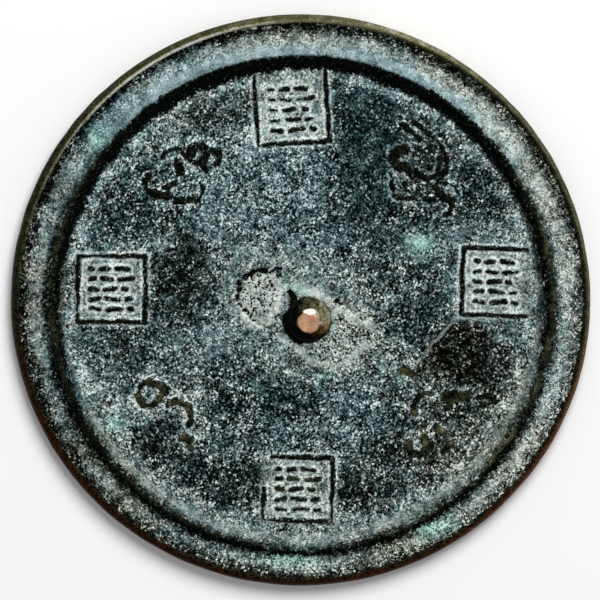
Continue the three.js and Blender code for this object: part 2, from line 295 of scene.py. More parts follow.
# Corrosion and damage. A swelling lies left of the knob, cracked along its edge, and a lumpy crust right
# of it. Two pits have opened under a blister, the deposit has flaked off in one area, the ridge is
# chipped, and a fine groove runs inside its foot. A pit is its x, y and half widths. A chip is its angle
# round the plate, its radius there and its size. A crack is its two ends and its width.
SWELLING_AT, CRUST_AT = (-8.9, 0.2), (7.6, -7.4)
BLISTER_AT = (23.9, -15.1)
PITS = [(22.9, -16.0, 1.5, 1.0), (24.8, -16.7, 1.1, 0.8)]
CHIPS = [(-57.3, 54.3, 1.7), (-16.5, 56.1, 1.1)]
CRACKS = [
    (-12.4, 4.9, -11.4, 5.9, 1.15), (-11.4, 5.9, -10.0, 6.7, 0.8), (-10.0, 6.7, -7.9, 6.5, 1.15),
    (-7.9, 6.5, -6.9, 6.2, 0.8), (-6.3, 6.8, -4.8, 7.0, 0.8), (-5.2, 5.7, -5.0, 5.6, 0.9),
    (-14.1, 3.9, -14.0, 2.2, 1.0), (-14.0, 1.1, -14.1, 0.5, 0.7), (-13.5, -1.1, -12.6, -2.2, 0.6),
    (-11.9, -2.9, -11.2, -4.0, 0.8), (-10.6, -4.6, -9.6, -5.5, 0.6), (-8.2, -6.0, -7.5, -6.4, 0.5),
    # The crack from -5.6, -4.0 to -4.6, -3.0, west of the knob, is painted shadow of the knob, cut in and
    # darkened like a crack.
    (-5.6, -4.0, -4.6, -3.0, 0.8), (-2.3, 2.0, -1.6, 0.6, 1.3), (-2.0, 0.2, -2.2, -1.2, 0.8),
    (8.4, -0.2, 9.2, -0.9, 0.9),
]
FLAKE_LINE = (34.6, -4.6, 26.7, -14.4)
GROOVE_RADIUS, GROOVE_MIDDLE = 51.8, 262
SWELLING, CRUST, BLISTER = 0.32, 0.14, 0.3
CRACK_DEPTH, PIT_DEPTH, CHIP_DEPTH, GROOVE_DEPTH, FLAKE_DEPTH, RIDGE_WEAR = 0.6, 0.75, 1.0, 0.35, 0.12, 0.08
# Bands of smooth cream deposit round the crust and over the knob: two ends and width
CREAM_BANDS = [
    (-5.0, -8.4, 0.2, -11.6, 0.7), (0.2, -11.6, 3.0, -14.2, 0.9), (3.0, -14.2, 7.0, -15.0, 1.1),
    (7.0, -15.0, 11.0, -13.2, 1.1), (11.0, -13.2, 15.8, -9.6, 1.3), (-3.0, 3.4, 2.2, 2.7, 1.4),
    (2.2, 2.7, 6.9, -1.0, 1.7), (6.9, -1.0, 7.5, -3.4, 1.2), (8.2, -1.6, 11.0, -3.2, 2.2),
    (11.0, -3.2, 16.6, -6.2, 1.1),
]


def in_swelling(x, y):
    """Distance inside the swelling's outline, whose radius is 5.8 + 1.1 cos(2a - 155 deg) and wanders."""
    across, up = x - SWELLING_AT[0], y - SWELLING_AT[1]
    outline = 5.8 + 1.1 * np.cos(2 * np.arctan2(up, across) - math.radians(155))
    return outline + 0.35 * rough(x, y, 2.4, 2, 71) - np.hypot(across, up)


def in_crust(x, y):
    """1 inside the crust, falling to 0 across its ragged edge: a slanting rounded diamond 18 by 15 mm, where
    the offsets across and up, each as a share of its half width and to the power 1.6, add up to 1."""
    across = x - CRUST_AT[0] + 1.5 * rough(x, y, 5, 3, 81)
    up = y - CRUST_AT[1] + 1.5 * rough(x, y, 5, 3, 91)
    return ramp((np.abs(across + 0.35 * up) / 9.2) ** 1.6 + (np.abs(up) / 7.4) ** 1.6, 1.15, 0.75)


def crevices(x, y):
    """1 along the cracks round the swelling: short strokes whose edges wander."""
    wander = 0.3 * rough(x, y, 0.9, 2, 61)
    return ramp(np.min([to_bar(x, y, *crack) for crack in CRACKS], axis=0) + wander, 0.12, -0.12)


def pitted(x, y):
    """1 in the open pits: ovals with ragged edges."""
    wander = 0.35 * rough(x, y, 1.3, 2, 66)
    pits = [ramp(np.hypot((x - cx) / a, (y - cy) / b) + wander, 1.15, 0.75) for cx, cy, a, b in PITS]
    return np.max(pits, axis=0)


def past_flake_edge(x, y):
    """Distance into the flaked area: how far right of its slanting edge and inside its other sides."""
    x, y = x + 0.5 * rough(x, y, 3, 3, 43), y + 0.5 * rough(x, y, 3, 3, 53)
    x0, y0, x1, y1 = FLAKE_LINE
    right = ((x - x0) * (y0 - y1) - (y - y0) * (x0 - x1)) / math.hypot(x1 - x0, y1 - y0)
    far_side = 0.1 * (43 - x + 2.5 * rough(x, y, 4, 3, 63))
    return np.min([right, 0.5 * (-5.0 - y), 0.12 * (y + 19.5), far_side], axis=0)


def relief_mask(x, y):
    """1 on the cast strokes and 0 off them, worn thin where a slow noise runs low."""
    worn = 0.28 * ramp(rough(x, y, 4.5, 2, 41), 0.1, -0.9)
    return (1 - ramp(to_relief(x, y) + worn, -0.22, 0.2)) * (np.hypot(x, y) < RIDGE_FOOT - 0.2)


def worked_height(x, y):
    """What stands above or below the bare profile on the relief side, away from the knob."""
    radius = np.hypot(x, y)
    field = ramp(radius, RIDGE_FOOT, RIDGE_FOOT - 1.5)
    height = RELIEF * relief_mask(x, y) * (0.85 + 0.2 * rough(x, y, 3.0, 2, 51))
    height += field * 0.07 * rough(x, y, 11, 2, 21) + 0.055 * rough(x, y, 1.5, 2, 23)
    height -= 0.22 * ramp(rough(x, y, 2.1, 2, 25), 0.62, 0.95)
    height += SWELLING * ramp(in_swelling(x, y), -0.3, 0.7) - CRACK_DEPTH * crevices(x, y)
    height += in_crust(x, y) * (CRUST + 0.18 * rough(x, y, 1.4, 2, 27))
    height -= FLAKE_DEPTH * ramp(past_flake_edge(x, y), -0.2, 0.4)
    from_blister = np.hypot((x - BLISTER_AT[0]) / 4.2, (y - BLISTER_AT[1]) / 2.6)
    height += BLISTER * ramp(from_blister, 1.0, 0.5) - PIT_DEPTH * pitted(x, y)
    arc = np.degrees(np.arctan2(y, x)) % 360
    groove = ramp(np.abs(radius - GROOVE_RADIUS), 0.45, 0.1) * ramp(np.abs(arc - GROOVE_MIDDLE), 27, 20)
    height -= GROOVE_DEPTH * groove
    for turn, reach, size in CHIPS:
        cx, cy = reach * math.cos(math.radians(turn)), reach * math.sin(math.radians(turn))
        from_chip = np.hypot(x - cx, y - cy) + 0.3 * rough(x, y, 1.2, 2, 29)
        height -= CHIP_DEPTH * ramp(from_chip, size, 0.4 * size)
    ridge = ramp(np.abs(radius - RIDGE_CREST), 3.0, 0.6)
    return height - ridge * (RIDGE_WEAR + 0.1 * rough(x, y, 7, 3, 33))


# The finished surface: what stands on the profile, a low collar round the knob, dents in the knob's side
# and top, the facet worn north of its top, and dents along the edge
x, y, z, quads, fan = bronze_form()
radius = np.hypot(x, y)
from_knob = np.hypot(x - KNOB_AT[0], y - KNOB_AT[1])
ground = ramp(from_knob, KNOB_RADIUS - 0.1, KNOB_RADIUS + 0.6) * (z > 2.5)
ground = ground * ramp(radius, LIP + 0.2, LIP - 0.8)
z = z + ground * worked_height(x, y)
z = z + 0.35 * ramp(from_knob, KNOB_RADIUS + 1.6, KNOB_RADIUS) * ground
on_knob = (z > FIELD + 0.2) & (from_knob < KNOB_RADIUS + 0.05)
dent = on_knob * (0.05 + 0.05 * rough(x * 2 + z, y * 2 - z, 2.4, 2, 35)) * ramp(from_knob, 1.5, 3.0)
x = x - dent * (x - KNOB_AT[0]) / np.maximum(from_knob, 1)
y = y - dent * (y - KNOB_AT[1]) / np.maximum(from_knob, 1)
z = z - on_knob * ramp(from_knob, KNOB_FLAT + 0.4, KNOB_FLAT - 0.5) * (0.03 + 0.03 * rough(x, y, 1.3, 2, 37))
z = z - on_knob * 0.4 * ramp(y - KNOB_AT[1] + 0.25 * (x - KNOB_AT[0]), 1.4, 3.2) * ramp(from_knob, 4.2, 3.0)
edge_dent = ramp(radius, LIP + 0.6, LIP + 1.4) * (z > 0.3) * (0.07 + 0.07 * rough(x, y, 5, 3, 39))
x, y = x * (1 - edge_dent / np.maximum(radius, 1)), y * (1 - edge_dent / np.maximum(radius, 1))

mesh = bpy.data.meshes.new("cast_bronze_mirror")
mesh.from_pydata((np.column_stack([x, y, z]) * MM).tolist(), [], quads.tolist() + fan.tolist())
mirror = bpy.data.objects.new("cast_bronze_mirror", mesh)
bpy.context.scene.collection.objects.link(mirror)

# The cord hole: an arched way, cored through the foot of the knob from upper left to lower right. The core
# reaches beyond the knob on both sides, as a share of its radius, and starts a little above the field
HOLE_WIDTH, HOLE_HEIGHT, HOLE_TURN = 3.0, 2.0, 130
CORE_REACH, CORE_RAISE = 1.35, 0.12


def cord_core():
    """A closed prism: an arch section, half a circle on two short posts, carried along its way on a grid of
    stations, with each end closed to a middle point."""
    half, way = HOLE_WIDTH / 2, np.linspace(-CORE_REACH, CORE_REACH, 13) * KNOB_RADIUS
    bend = np.linspace(0, math.pi, 21)
    across = np.concatenate([[half], half * np.cos(bend), [-half]])
    up = np.concatenate([[0], HOLE_HEIGHT - half + half * np.sin(bend), [0]]) + FIELD + CORE_RAISE
    turn = math.radians(HOLE_TURN)
    along, side = np.meshgrid(way, across, indexing="ij")
    px = KNOB_AT[0] + along * math.cos(turn) - side * math.sin(turn)
    py = KNOB_AT[1] + along * math.sin(turn) + side * math.cos(turn)
    points = np.stack([px, py, np.broadcast_to(up, px.shape)], axis=-1).reshape(-1, 3)
    ends = [points[:across.size].mean(0), points[-across.size:].mean(0)]
    rows = np.arange(points.shape[0]).reshape(way.size, across.size)
    turned = np.roll(rows, -1, axis=1)
    wall = np.stack([rows[:-1], turned[:-1], turned[1:], rows[1:]], axis=-1).reshape(-1, 4)
    first = np.column_stack([turned[0], rows[0], np.full(across.size, points.shape[0])])
    final = np.column_stack([rows[-1], turned[-1], np.full(across.size, points.shape[0] + 1)])
    return np.vstack([points, ends]), wall.tolist() + first.tolist() + final.tolist()


core_points, core_faces = cord_core()
core_mesh = bpy.data.meshes.new("cord_core")
core_mesh.from_pydata((core_points * MM).tolist(), [], core_faces)
core = bpy.data.objects.new("cord_core", core_mesh)
bpy.context.scene.collection.objects.link(core)
cut = mirror.modifiers.new("cord_hole", "BOOLEAN")
cut.operation, cut.solver, cut.object = "DIFFERENCE", "EXACT", core
bpy.context.view_layer.update()
mirror.data = bpy.data.meshes.new_from_object(mirror.evaluated_get(bpy.context.evaluated_depsgraph_get()))
mirror.modifiers.clear()
bpy.data.objects.remove(core)
mesh = mirror.data
mesh.name = "cast_bronze_mirror"
mesh.shade_smooth()

# ---------------------------------------------------------------------------------------------------
# The skin of the bronze. Blue-black metal lies under a grey-green granular deposit. High edges have
# worn down to olive-brown bronze, and the knob's top to copper red. Some of the colour is painted light
# and shade: a dark band on the ridge's shaded slope, the lip's shaded inner side, the knob's shadow and
# shaded side, a sheen on the slope outside the ridge in the north, and highlights on the lip, the edge
# and the knob.

# Patches of the patina: x, y, half widths, tone from dark 0 to pale 1, warmth from blue 0 to brown 1, and
# how coarse the speckle is
PATCHES = [
    (-4, 7, 11, 7, 0.64, 0.35, 0.6), (-9, 0, 6, 7, 0.66, 0.45, 0.7), (12, -8, 7, 9, 0.62, 0.6, 1.0),
    (2, -12, 8, 4, 0.58, 0.45, 0.8), (-9, 27, 15, 13, 0.52, 0.1, 0.9), (-15, 25, 4, 6, 0.62, 0.2, 0.9),
    (27, 12.5, 4, 3.4, 0.74, 0.1, 0.4), (38, 8, 6, 12, 0.6, 0.25, 0.7), (47, 13, 4, 4, 0.66, 0.3, 0.7),
    (48, -5, 3.5, 6, 0.56, 0.3, 0.8), (22, -15, 5, 2.4, 0.6, 0.4, 0.9), (3, -39, 5, 7, 0.56, 0.45, 0.9),
    (-20, -10, 7, 4, 0.58, 0.15, 0.7), (-46, -16, 4, 8, 0.58, 0.3, 0.8), (-39, -25, 5, 3.5, 0.66, 0.45, 0.9),
    (-25, -24, 4, 6, 0.6, 0.5, 1.0), (-37, 9, 4, 5, 0.56, 0.3, 0.8), (-45, 8, 6, 5, 0.5, 0.3, 0.8),
    (12, -26, 5, 6, 0.5, 0.1, 1.0), (-9, -32, 8, 5, 0.46, 0.15, 1.0), (-27, 36, 8, 3, 0.6, 0.3, 0.9),
    (16, 33, 8, 15, 0.26, 0.1, 0.55), (27, 31, 7, 8, 0.27, 0.45, 0.8), (42, 26, 6, 6, 0.27, 0.35, 0.9),
    (27, 20, 12, 4, 0.3, 0.35, 0.9), (36, -12, 7, 6, 0.15, 0.9, 0.6), (44, -17, 5, 7, 0.25, 0.8, 0.8),
    (38, -25, 9, 5, 0.3, 0.75, 0.9), (27, -4, 8, 4, 0.25, 0.3, 0.8), (18, -35, 6, 4, 0.26, 0.6, 0.9),
    (33, -35, 9, 6, 0.32, 0.85, 0.9), (14, -44, 7, 4, 0.24, 0.6, 0.9), (-26, 6, 5, 9, 0.24, 0.5, 0.7),
    (-33, -2, 5, 4, 0.32, 0.35, 0.8), (-40, 19, 8, 4, 0.28, 0.25, 0.9), (-37, 27, 5, 4, 0.3, 0.2, 0.9),
    (-33, -33, 7, 4, 0.2, 0.55, 0.9), (-21, -42, 6, 5, 0.22, 0.45, 0.9), (-12, -38, 4, 6, 0.32, 0.65, 0.9),
    (-8, -23, 10, 4, 0.3, 0.3, 1.0), (-19, -17, 4, 4, 0.3, 0.25, 1.0), (-22, 42, 9, 4, 0.36, 0.5, 0.8),
    (-42, -10, 7, 4, 0.34, 0.3, 0.8), (4, 14, 8, 4, 0.38, 0.1, 0.9), (24, 6, 8, 5, 0.36, 0.35, 0.9),
]
# Verdigris spots: x, y and half widths
MINT_SPOTS = [
    (-3.6, 4.6, 1.0, 1.3), (-0.6, 2.6, 2.2, 1.0), (7.2, -6.4, 0.9, 1.4), (5.3, -17.4, 2.0, 1.0),
    (27, 12.4, 3.4, 2.8), (-45, 37.5, 3, 3.4), (30, -51.5, 6, 2.6), (-41.5, -28, 3, 2), (-43.2, 12, 0.9, 0.9),
    (-37, 38.5, 2.4, 1.6), (-2, -58.5, 7, 2.2), (-10, -20, 1.5, 1.5),
]
# Tone, warmth and speckle of the even ground between the patches, and its weight against a patch's 1
GROUND, GROUND_WEIGHT = (0.45, 0.3, 0.9), 0.1
# Tones of the deposit inside a frame, on the flaked area's edge, on the crust, on the swelling, in the cream
# bands and in the verdigris
FRAMED_TONE, FLAKE_EDGE_TONE, CRUST_TONE = 0.76, 0.85, 0.76
SWELLING_TONE, CREAM_TONE, MINT_TONE = 0.92, 0.88, 0.82
# Tones of the rim where nothing special lies: inside the ridge, outside it, on the channel's floor, on the
# lip, where the dark tone is painted shade. Then where the dark band on the ridge, exposed metal and
# painted shade, starts and stops, halfway between its north and its south
FOOT_TONE, SLOPE_TONE, FLOOR_TONE, LIP_SHADE_TONE = 0.68, 0.66, 0.68, 0.15
RIDGE_FROM, RIDGE_TO = 54.0, 57.1


def patina(x, y):
    """Tone, warmth and speckle at each point: the mean of all patches and of an even ground, each weighted
    by a bell that falls off with the distance from its middle, measured with wandering coordinates."""
    wx, wy = x + 1.6 * rough(x, y, 5, 5, 101), y + 1.6 * rough(x, y, 5, 5, 111)
    total = np.full_like(x, GROUND_WEIGHT)
    sums = [GROUND_WEIGHT * value * np.ones_like(x) for value in GROUND]
    for cx, cy, a, b, *values in PATCHES:
        weight = np.exp(-1.6 * (((wx - cx) / a) ** 2 + ((wy - cy) / b) ** 2))
        total += weight
        sums = [s + weight * value for s, value in zip(sums, values)]
    return [s / total for s in sums]


def bell(turn, middle, width):
    """1 at that angle round the plate, falling off on both sides as a bell of that half width."""
    away = (turn - middle + 180) % 360 - 180
    return np.exp(-(away / width) ** 2)


def compass(x, y):
    """Distance from the plate's middle, the angle round it from the east in degrees, and its sine."""
    turn = np.degrees(np.arctan2(y, x))
    return np.hypot(x, y), turn, np.sin(np.radians(turn))


def beside_relief(x, y, strokes, tone, warmth, speckle):
    """Paler deposit in a halo round the strokes with a bright line next to them, inside the frames, and in a
    band along the ridge's foot."""
    radius = np.hypot(x, y)
    from_stroke = to_relief(x, y)
    halo = ramp(from_stroke, 1.4, 0.3) + 2.4 * ramp(np.abs(from_stroke - 0.32), 0.3, 0.1)
    framed = np.max([ramp(np.maximum(np.abs(x - cx) / width, np.abs(y - cy) / height), 0.62, 0.5)
                     for cx, cy, _, width, height, *_ in FRAMES], axis=0)
    tone = tone + 0.08 * halo * (1 - strokes) * (radius < RIDGE_FOOT) + (FRAMED_TONE - tone) * 0.65 * framed
    beside = ramp(np.abs(radius - 51.6 + 0.8 * rough(x, y, 4, 3, 125)), 2.6, 0.4)
    tone = tone + (FOOT_TONE - tone) * 0.75 * beside
    return tone, warmth + (0.55 - warmth) * 0.7 * framed, speckle - 0.3 * framed


def bare_and_shaded_band(turn):
    """Radii where the dark band on the ridge starts and stops: exposed metal on the crest, moved onto the
    slope that faces away from the lamp as painted shade. Both lie farther out towards the south, by a
    sine of the angle, and a little farther out towards the east, by a cosine."""
    north, east = np.sin(np.radians(turn)), np.cos(np.radians(turn))
    # Painted shade: the band moves in towards the middle in the north and out in the south, onto the slope
    # that faces away from the lamp.
    return RIDGE_FROM - 2.2 * north + 0.3 * east, RIDGE_TO - 1.2 * north + 0.2 * east


def over_rim(x, y, tone, warmth, speckle):
    """The deposit outside the ridge's foot. Its tone goes by radius, from the slope to the channel's floor
    and up the lip, whose dark tone is painted shade. The slope is paler towards the north-east, painted
    light where it faces the lamp, and the floor a little paler towards the east-north-east. The lip's
    painted shade lifts in the south-east. Painted shade dims the tone next to the dark band on the ridge,
    less so outside the band in the north, and there the slope is bluer and less speckled, a painted sheen."""
    radius, turn, north = compass(x, y)
    rim = ramp(radius, RIDGE_FOOT, RIDGE_FOOT + 0.8)
    up_lip = ramp(radius + 0.5 * rough(x, y, 2.5, 3, 123), 60.2, 62.6)
    start, stop = bare_and_shaded_band(turn)
    northern = ramp(north, 0.2, 0.9)
    # Painted light: the slope is paler where it faces the lamp, towards the north-east.
    slope = SLOPE_TONE + 0.16 * np.cos(np.radians(turn - 45))
    floor_tone = FLOOR_TONE + 0.1 * np.cos(np.radians(turn - 25))
    # Painted shade: the lip's inner side is dark all round, lifting in the south-east.
    lip_shade_tone = LIP_SHADE_TONE + 0.4 * bell(turn, -30, 65)
    rim_tone = FOOT_TONE * ramp(radius, 56.4, 55.2)
    rim_tone = rim_tone + slope * ramp(radius, 55.2, 56.4) * ramp(radius, 59.2, 57.2)
    rim_tone = rim_tone + floor_tone * ramp(radius, 57.2, 59.2) * (1 - up_lip) + lip_shade_tone * up_lip
    # Painted shade: dimmer next to the dark band, less so outside it in the north.
    inner_shade = 0.45 * ramp(radius - start, -1.6, 0.2) * (radius < 55.8)
    outer_shade = (0.45 - 0.35 * northern) * ramp(radius - stop, 1.8, 0.2) * (radius > 55.8)
    rim_tone = rim_tone * (1 - inner_shade - outer_shade) + 0.07 * rough(x, y, 6, 4, 121)
    # Painted sheen: the north slope outside the ridge is bluer and less speckled.
    outside = ramp(radius, 59.5, 57) * northern
    rim_warmth = 0.62 - 0.5 * bell(turn, 135, 25) + 0.3 * rough(x, y, 12, 2, 131) - 0.55 * outside
    rim_warmth = np.clip(rim_warmth + 0.3 * up_lip, 0, 1)
    rim_speckle = 0.62 - 0.06 * north - 0.3 * outside - 0.2 * ramp(radius - start, 0.4, -0.8) + 0.3 * up_lip
    pairs = ((tone, rim_tone), (warmth, rim_warmth), (speckle, rim_speckle))
    return [inside * (1 - rim) + on_rim * rim for inside, on_rim in pairs]


def bare_and_shaded_ridge(x, y):
    """Where the ridge is dark, between the band's ragged edges: exposed metal, and painted shade where the
    band lies on the slope away from the lamp. Then how far the metal has worn along its crest: most from
    the east round to the south, and hardly in the north, where the band stays black as painted shade."""
    radius, turn, north = compass(x, y)
    start, stop = bare_and_shaded_band(turn)
    wander = 0.22 * rough(x, y, 2.2, 4, 141)
    soft = 0.4 + 0.5 * (1 - ramp(north, 0.2, 0.9))
    ragged = 0.35 * rough(x, y, 0.9, 3, 153)
    ridge = ramp(radius - start + 1.5 * wander + ragged, -0.5, 1.1)
    ridge = ridge * ramp(radius - stop + wander + ragged * soft, soft, -soft)
    crest = 0.27 + 0.1 * np.cos(np.radians(turn + 15))
    crest = crest + 0.14 * bell(turn, -32, 14) + 0.12 * bell(turn, -95, 40)
    # Painted shade: no worn crest in the north, so the band there stays black.
    crest = crest * (1 - ramp(north, 0.3, 0.8)) + 0.18 * bell(turn, 155, 28)
    middle = 56.0 + 0.9 * bell(turn, 5, 30) - 0.3 * bell(turn, -35, 20)
    on_crest = ramp(np.abs(radius - middle + 2 * wander), 1.4, 0.4)
    return ridge, crest * on_crest * (0.8 + 0.5 * rough(x, y, 4, 4, 149))


def bare_lip(x, y, top):
    """Where lip and edge are exposed metal, how far they have worn, with painted light and shade added, and
    how red they are. The lip is palest from the north to the north-west, a painted highlight on its worn
    metal. The edge is tan along the north, facing the lamp, with a painted glint north-north-east, and
    dark red-brown in the south, away from it: painted light and shade on worn, reddish bronze."""
    radius, turn, north = compass(x, y)
    from_lip = np.hypot(x - LIP_SHIFT[0], y - LIP_SHIFT[1]) - LIP
    inner = -0.6 + 0.35 * bell(turn, 190, 45) + 0.2 * rough(x, y, 1.0, 2, 159) * (1 - north)
    lip = ramp(from_lip, inner, inner + 0.35) * top
    on_edge = ramp(from_lip, 0.1, 0.6)
    # Painted glint: the edge is paler still in a narrow arc north-north-east, facing the lamp.
    edge_wear_and_glint = 0.96 + 0.1 * rough(x, y, 1.6, 3, 151) + 0.3 * bell(turn, 68, 13)
    # Painted highlight: the lip's worn metal is palest from the north to the north-west.
    lip_wear_and_highlight = 0.2 + 0.8 * bell(turn, 120, 45) + 0.1 * rough(x, y, 0.9, 3, 161) * (north < 0.5)
    # Painted light and shade: the edge is paler on the side towards the lamp and darker in the south.
    edge_wear_light_and_shade = (0.1 + 0.5 * bell(turn, 60, 100)) * edge_wear_and_glint + 0.14 * ramp(radius, 64.2, 64.8) * (north < 0.3)
    wear_light_and_shade = lip_wear_and_highlight * (1 - on_edge) + edge_wear_light_and_shade * on_edge
    return lip, wear_light_and_shade, lip * (0.15 + on_edge) * 0.7 * ramp(north, 0.1, -0.6)


def bare_knob(x, y, z):
    """Where the knob is exposed metal, reaching up to 1 mm past its foot in the south-west as a painted
    shadow; how far its side has worn, palest towards the east-north-east and black in the south-west as
    painted shade; a painted highlight on the worn facet north of its top; the copper red of the top, and
    the reddish side in the south-east."""
    across, up = x - KNOB_AT[0], y - KNOB_AT[1]
    from_knob, turn = np.hypot(across, up), np.degrees(np.arctan2(up, across))
    # Painted shadow: the knob's dark area reaches up to 1 mm past its foot in the south-west.
    foot = KNOB_RADIUS + 1.0 * bell(turn, -150, 55)
    knob = ramp(from_knob, foot + 0.2, foot - 0.15)
    # Painted shade: the side is worn paler towards the east-north-east and left black on the far side.
    wear_light_and_shade = 0.8 * bell(turn, 30, 70) + 0.16 * rough(x, y, 1.0, 3, 143)
    # Painted highlight: the worn facet north of the top takes the palest metal.
    facet = knob * ramp(np.hypot((across - 0.2) / 1.7, (up - 2.35) / 0.75), 1.1, 0.6)
    copper = ramp(from_knob + 0.15 * rough(x, y, 1.2, 2, 147), KNOB_FLAT - 0.1, KNOB_FLAT - 0.4)
    copper = copper * (z > knob_top - 0.8) * (1 - facet)
    return knob, wear_light_and_shade, facet, copper, knob * 0.45 * bell(turn, -40, 35)


def flaked(x, y, tone, warmth, speckle):
    """The area whose deposit has flaked off, darker and brown, with a pale broken edge on its left."""
    inside = past_flake_edge(x, y)
    bald = ramp(inside, -0.1, 0.5)
    broken = ramp(np.abs(inside + 0.45), 0.5, 0.25) * ramp(x, 37, 34) * ramp(y, -16, -13)
    tone = tone * (1 - 0.3 * bald) + (FLAKE_EDGE_TONE - tone) * 0.6 * broken
    return tone, warmth * (1 - bald) + bald, speckle + (0.8 - speckle) * bald - 0.5 * broken


def beside_knob(x, y, tone, warmth, speckle):
    """The crust, the swelling and the cream bands, each moving tone and warmth a share of the way to its
    own. The last value is how pitted the surface is: on the crust, and most in the swelling's middle."""
    from_knob = np.hypot(x - KNOB_AT[0], y - KNOB_AT[1])
    crust = in_crust(x, y)
    to_band = np.min([to_bar(x, y, *band) for band in CREAM_BANDS], axis=0)
    cream = ramp(to_band + 0.8 * rough(x, y, 1.6, 3, 155), 0.9, -0.5)
    dome = ramp(in_swelling(x, y), -0.4, 0.4)
    middle = ramp(np.hypot((x + 9.8) / 4.6, (y - 1.6) / 5.4), 1.1, 0.8)
    pitting = np.maximum(0.6 * crust * (from_knob > KNOB_RADIUS + 1) * (1 - cream), middle)
    tone = tone + (CRUST_TONE - tone) * 0.85 * crust
    tone = tone + (SWELLING_TONE - tone) * 0.85 * dome
    tone = tone + (CREAM_TONE - tone) * 0.8 * cream
    warmth = warmth + (0.75 - warmth) * 0.85 * ramp(crust, 0, 0.5)
    warmth = warmth + (0.75 - warmth) * 0.85 * dome
    warmth = warmth + (0.6 - warmth) * 0.8 * cream
    return tone, warmth, speckle * (1 - 0.5 * dome) * (1 - 0.65 * cream), pitting


def rubbed_relief(x, y, strokes):
    """How far the strokes have worn to olive: in patches on the bats and the south frame, most in the
    south, and a little everywhere."""
    on_bats = np.max([ramp(np.hypot(x - cx, y - cy), 13, 9) for cx, cy, *_ in BATS], axis=0)
    olive = np.clip(0.24 + 0.34 * rough(x, y, 2.2, 3, 145), 0, 1)
    olive = olive * (0.25 + 0.75 * ramp(-x * 0.3 - y, -10, 25))
    patchy = strokes * (1.1 * on_bats * olive + 0.9 * olive * ramp(np.hypot(x, y + 43), 7, 3))
    return np.maximum(patchy, strokes * (0.1 + 0.14 * rough(x, y, 0.9, 3, 157)))


def skin(x, y, z):
    """The maps that the material reads at every point of the finished surface, each from 0 to 1."""
    top = z > 0.05
    strokes = relief_mask(x, y)
    tone, warmth, speckle = beside_relief(x, y, strokes, *patina(x, y))
    tone, warmth, speckle = over_rim(x, y, tone, warmth, speckle)
    tone, warmth, speckle = flaked(x, y, tone, warmth, speckle)
    tone, warmth, speckle, pitting = beside_knob(x, y, tone, warmth, speckle)
    mint = np.max([np.exp(-1.2 * (((x - cx) / a) ** 2 + ((y - cy) / b) ** 2))
                   for cx, cy, a, b in MINT_SPOTS], axis=0)
    tone = tone + (MINT_TONE - tone) * 0.5 * mint

    ridge, rub = bare_and_shaded_ridge(x, y)
    lip, lip_wear_and_highlight, lip_russet = bare_lip(x, y, top)
    knob, knob_wear_and_shade, facet, copper, knob_russet = bare_knob(x, y, z)
    open_pits = pitted(x, y)
    # Painted highlights join the wear here, on the lip and on the knob's facet, and painted shade on the
    # knob's far side.
    rub = rub * (1 - lip) + lip * lip_wear_and_highlight
    rub = rub * (1 - knob) + knob * knob_wear_and_shade + facet + 0.45 * open_pits
    rub = np.maximum(rub, rubbed_relief(x, y, strokes))
    gaps = np.maximum(crevices(x, y), open_pits)
    # The exposed-metal map also carries painted shade: the ridge's band on its shaded slope, the knob's
    # painted shadow, and one painted crack west of the knob.
    bare = np.max([0.92 * strokes, 0.88 * ridge, lip, 1.1 * knob, gaps], axis=0)
    return {"tone": tone, "warmth": warmth, "speckle": speckle, "bare": bare * top, "rub": rub,
            "russet": np.maximum(lip_russet, knob_russet), "copper": copper, "mint": mint * (1 - knob),
            "pitting": pitting, "polished": 1.0 * (z < 0.02)}


points = np.empty(len(mesh.vertices) * 3, np.float32)
mesh.vertices.foreach_get("co", points)
maps_of_skin = skin(*(points.reshape(-1, 3).T.astype(float) / MM))
for name, values in maps_of_skin.items():
    layer = mesh.attributes.new(name, "FLOAT", "POINT")
    layer.data.foreach_set("value", np.clip(values, 0, 1).astype(np.float32))


